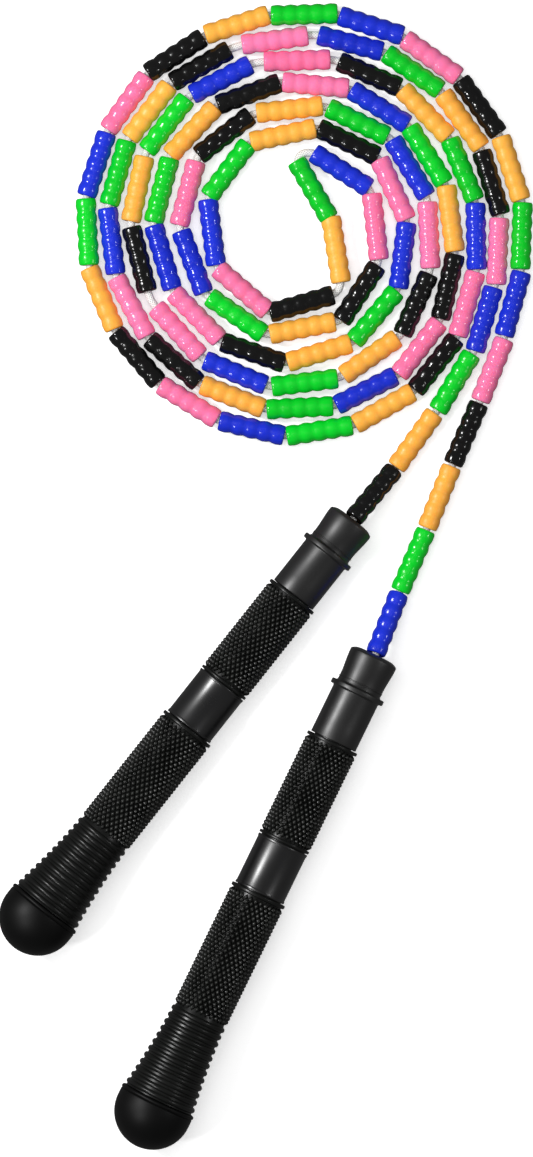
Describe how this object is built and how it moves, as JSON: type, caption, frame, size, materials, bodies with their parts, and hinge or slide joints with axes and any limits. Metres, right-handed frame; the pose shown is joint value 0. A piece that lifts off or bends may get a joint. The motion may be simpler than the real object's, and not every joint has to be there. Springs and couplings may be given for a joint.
{
  "type": "jump rope",
  "caption": "Beaded jump rope with two long swivelling handles, laid flat with the rope wound in a round coil.",
  "frame": {"origin": "on the floor, midway between the outer limits of the two handles", "axes": "+Z up; +Y from the handles towards the coil; +X to the right seen from above with +Y up"},
  "size_m": [0.1996, 0.4372, 0.03],
  "materials": {
    "collar_plastic": "satin moulded black plastic",
    "grip_plastic": "knurled black plastic",
    "band_plastic": "high gloss black plastic",
    "pommel_rubber": "matte black rubber",
    "bushing_brass": "plain turned brass",
    "washer_steel": "plain",
    "white_cord": "white braided polypropylene cord",
    "bead_blue": "glossy soft plastic",
    "bead_green": "glossy soft plastic",
    "bead_orange": "glossy soft plastic",
    "bead_black": "glossy soft plastic",
    "bead_pink": "glossy translucent soft plastic",
    "coil_mixed": null
  },
  "bodies": {
    "rope": {"rope_coil": "coil_mixed", "left_cord_run": "white_cord", "left_stop_washer": "washer_steel", "left_cord_stop": "white_cord", "right_cord_run": "white_cord", "right_stop_washer": "washer_steel", "right_cord_stop": "white_cord"},
    "left_handle": {"left_nose_collar": "collar_plastic", "left_grip_shell": "grip_plastic", "left_smooth_band": "band_plastic", "left_pommel_cap": "pommel_rubber", "left_cord_bushing": "bushing_brass"},
    "right_handle": {"right_nose_collar": "collar_plastic", "right_grip_shell": "grip_plastic", "right_smooth_band": "band_plastic", "right_pommel_cap": "pommel_rubber", "right_cord_bushing": "bushing_brass"},
    "bead_left_1": {"left_bead_1": "bead_black"},
    "bead_left_2": {"left_bead_2": "bead_orange"},
    "bead_right_1": {"right_bead_1": "bead_blue"},
    "bead_right_2": {"right_bead_2": "bead_green"},
    "bead_right_3": {"right_bead_3": "bead_orange"},
    "bead_right_4": {"right_bead_4": "bead_black"},
    "bead_right_5": {"right_bead_5": "bead_pink"}
  },
  "joints": [
    {"name": "left_handle_swivel", "type": "hinge", "parent": "rope", "child": "left_handle", "pos_m": [0.0585, 0.1167, 0.01052], "axis": [-0.621, -0.7835, 0.0239], "continuous": true},
    {"name": "right_handle_swivel", "type": "hinge", "parent": "rope", "child": "right_handle", "pos_m": [0.06715, 0.0652, 0.01052], "axis": [-0.4382, -0.8985, 0.0239], "continuous": true},
    {"name": "left_bead_1_spin", "type": "hinge", "parent": "rope", "child": "bead_left_1", "pos_m": [0.06704, 0.12704, 0.0073], "axis": [0.6185, 0.7474, -0.2426], "continuous": true},
    {"name": "left_bead_2_spin", "type": "hinge", "parent": "rope", "child": "bead_left_2", "pos_m": [0.0829, 0.1476, 0.0041], "axis": [0.5841, 0.8117, 0], "continuous": true},
    {"name": "right_bead_1_spin", "type": "hinge", "parent": "rope", "child": "bead_right_1", "pos_m": [0.07211, 0.07767, 0.0073], "axis": [0.3552, 0.9029, -0.2423], "continuous": true},
    {"name": "right_bead_2_spin", "type": "hinge", "parent": "rope", "child": "bead_right_2", "pos_m": [0.082, 0.1017, 0.0041], "axis": [0.3948, 0.9188, 0], "continuous": true},
    {"name": "right_bead_3_spin", "type": "hinge", "parent": "rope", "child": "bead_right_3", "pos_m": [0.09205, 0.12585, 0.0041], "axis": [0.3734, 0.9277, 0], "continuous": true},
    {"name": "right_bead_4_spin", "type": "hinge", "parent": "rope", "child": "bead_right_4", "pos_m": [0.10215, 0.15, 0.0041], "axis": [0.398, 0.9174, 0], "continuous": true},
    {"name": "right_bead_5_spin", "type": "hinge", "parent": "rope", "child": "bead_right_5", "pos_m": [0.1122, 0.17425, 0.0041], "axis": [0.3674, 0.9301, 0], "continuous": true}
  ]
}
